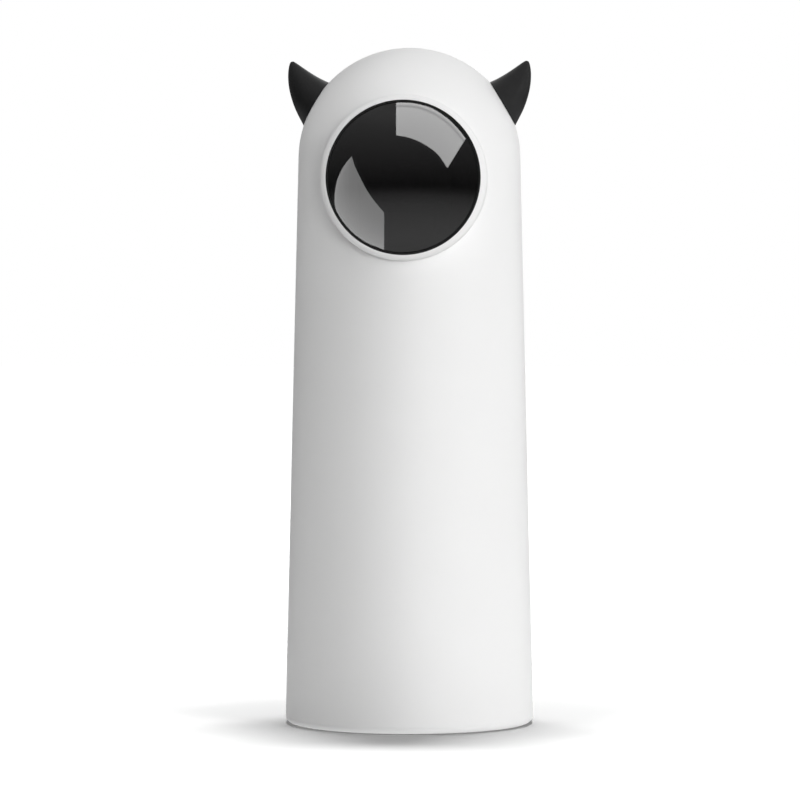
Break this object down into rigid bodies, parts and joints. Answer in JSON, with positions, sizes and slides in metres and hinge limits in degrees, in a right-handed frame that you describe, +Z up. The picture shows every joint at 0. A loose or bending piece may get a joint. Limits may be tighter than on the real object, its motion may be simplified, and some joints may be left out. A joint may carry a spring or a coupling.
{
  "type": "automatic cat laser toy",
  "caption": "White domed tower with two small horns that pans and tilts a laser behind a round smoked window to lead a cat around.",
  "frame": {"origin": "centre of the rubber pad's resting face", "axes": "+Z up the tower's axis, -Y out of the round window, +X to the right as seen from the front"},
  "size_m": [0.0608, 0.0675, 0.1656],
  "materials": {
    "shell_white": "fine satin, white",
    "window_smoke": "polished, dark smoke tint",
    "horn_black": "satin, black",
    "gasket_black": "matt",
    "foot_rubber": "matt",
    "chassis_grey": "as moulded",
    "gear_white": "as moulded acetal",
    "screw_steel": "zinc plated",
    "motor_steel": "drawn sheet, zinc plated",
    "shaft_steel": "ground",
    "cell_wrap": "shrink sleeve",
    "cell_foam": "foam",
    "lead_red": "insulation",
    "board_green": "solder mask",
    "chip_black": "moulded epoxy",
    "connector_ivory": "as moulded",
    "pin_gold": "plated",
    "port_steel": "nickel plated",
    "button_white": "fine satin, white",
    "light_clear": "clear acrylic",
    "led_white": "epoxy",
    "motor_terminal_blue": "as moulded",
    "washer_ptfe": "slick",
    "laser_brass": "turned",
    "laser_glass": "polished"
  },
  "bodies": {
    "tower": {"body_shell": "shell_white", "window_ring": "shell_white", "window_gasket": "gasket_black", "smoked_window": "window_smoke", "horn_left": "horn_black", "horn_right": "horn_black", "horn_clips": "screw_steel", "base_cover": "shell_white", "foot_pad": "foot_rubber", "base_screws": "screw_steel", "chassis": "chassis_grey", "battery_cell": "cell_wrap", "battery_pads": "cell_foam", "battery_leads": "lead_red", "main_board": "board_green", "board_screws": "screw_steel", "controller_chip": "chip_black", "board_connectors": "connector_ivory", "board_capacitors": "chip_black", "board_link_pins": "pin_gold", "charge_board": "board_green", "usb_socket": "port_steel", "usb_tongue": "chip_black", "switch_body": "chip_black", "status_led": "led_white", "light_pipe": "light_clear", "pan_motor": "motor_steel", "pan_motor_terminal": "motor_terminal_blue", "pan_motor_wires": "lead_red", "pan_motor_screws": "screw_steel", "pan_thrust_washer": "washer_ptfe", "pan_pivot_screw": "screw_steel"},
    "pan_turntable": {"turntable": "gear_white", "tilt_motor": "motor_steel", "tilt_motor_screws": "screw_steel"},
    "pan_drive": {"pan_motor_shaft": "shaft_steel", "pan_pinion": "gear_white"},
    "laser_head": {"tilt_gear": "gear_white", "laser_cradle": "chassis_grey", "cradle_pins": "shaft_steel", "laser_set_screw": "screw_steel", "laser_barrel": "laser_brass", "laser_lens": "laser_glass", "laser_diode": "pin_gold", "laser_board": "board_green"},
    "tilt_drive": {"tilt_motor_shaft": "shaft_steel", "tilt_pinion": "gear_white"},
    "button": {"power_button": "button_white", "switch_plunger": "chip_black"}
  },
  "joints": [
    {"name": "pan", "type": "hinge", "parent": "tower", "child": "pan_turntable", "pos_m": [0, 0, 0.1073], "axis": [0, 0, 1], "range_deg": [-28, 28]},
    {"name": "pan_motor_spin", "type": "hinge", "parent": "tower", "child": "pan_drive", "pos_m": [-0.012, 0, 0.1073], "axis": [0, 0, 1], "range_deg": [-86, 86]},
    {"name": "tilt", "type": "hinge", "parent": "pan_turntable", "child": "laser_head", "pos_m": [0, 0, 0.1329], "axis": [1, 0, 0], "range_deg": [-5, 28]},
    {"name": "tilt_motor_spin", "type": "hinge", "parent": "pan_turntable", "child": "tilt_drive", "pos_m": [0.0093, 0, 0.1179], "axis": [1, 0, 0], "range_deg": [-114, 22]},
    {"name": "button_press", "type": "slide", "parent": "tower", "child": "button", "axis": [0, -1, 0], "range_m": [0, 0.0005], "stiffness_N_per_m": 1500, "springref_m": -0.0003}
  ],
  "couplings": [
    {"joint": "pan_motor_spin", "follows": "pan", "ratio": -3},
    {"joint": "tilt_motor_spin", "follows": "tilt", "ratio": -4}
  ]
}
